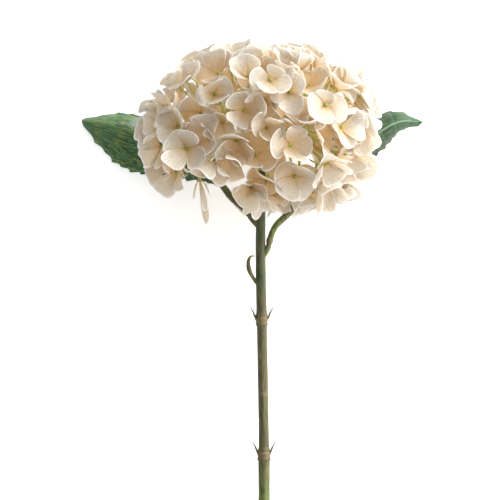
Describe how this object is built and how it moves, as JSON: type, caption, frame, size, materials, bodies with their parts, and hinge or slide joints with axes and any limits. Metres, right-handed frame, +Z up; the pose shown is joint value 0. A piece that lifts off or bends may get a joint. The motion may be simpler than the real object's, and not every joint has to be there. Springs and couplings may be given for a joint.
{
  "type": "cut hydrangea",
  "caption": "Cut hydrangea lying on its back: a round head of cream four-sepalled florets on a straight green stem with leaves and a small side shoot.",
  "frame": {"origin": "on the table, under the middle of the bounding box's footprint", "axes": "+Y along the stem from the cut end towards the head, +Z up, out of the front of the head, +X to the right as the front is seen"},
  "size_m": [0.2332, 0.3402, 0.1344],
  "materials": {
    "petal": "soft matte, slightly see-through, warmer towards the middle of each floret",
    "branch": "smooth yellow-green, herbaceous",
    "leaf": "satin dark green with fine yellow-green veins",
    "stem": "matte olive green, browner at the nodes",
    "shoot": "matte green-brown"
  },
  "bodies": {
    "root": {"stem": "stem", "side_shoot": "shoot", "leaf_left": "leaf", "leaf_right": "leaf", "corymb": "branch", "floret_01": "petal", "floret_02": "petal", "floret_03": "petal", "floret_04": "petal", "floret_05": "petal", "floret_06": "petal", "floret_07": "petal", "floret_08": "petal", "floret_09": "petal", "floret_10": "petal", "floret_11": "petal", "floret_12": "petal", "floret_13": "petal", "floret_14": "petal", "floret_15": "petal", "floret_16": "petal", "floret_17": "petal", "floret_18": "petal", "floret_19": "petal", "floret_20": "petal", "floret_21": "petal", "floret_22": "petal", "floret_23": "petal", "floret_24": "petal", "floret_25": "petal", "floret_26": "petal", "floret_27": "petal", "floret_28": "petal", "floret_29": "petal", "floret_30": "petal", "floret_31": "petal", "floret_32": "petal", "floret_33": "petal", "floret_34": "petal", "floret_35": "petal", "floret_36": "petal", "floret_37": "petal", "floret_38": "petal", "floret_39": "petal", "floret_40": "petal", "floret_41": "petal", "floret_42": "petal", "floret_43": "petal", "floret_44": "petal", "floret_45": "petal", "floret_46": "petal", "floret_47": "petal", "floret_48": "petal", "floret_49": "petal", "floret_50": "petal", "floret_51": "petal"}
  },
  "joints": []
}
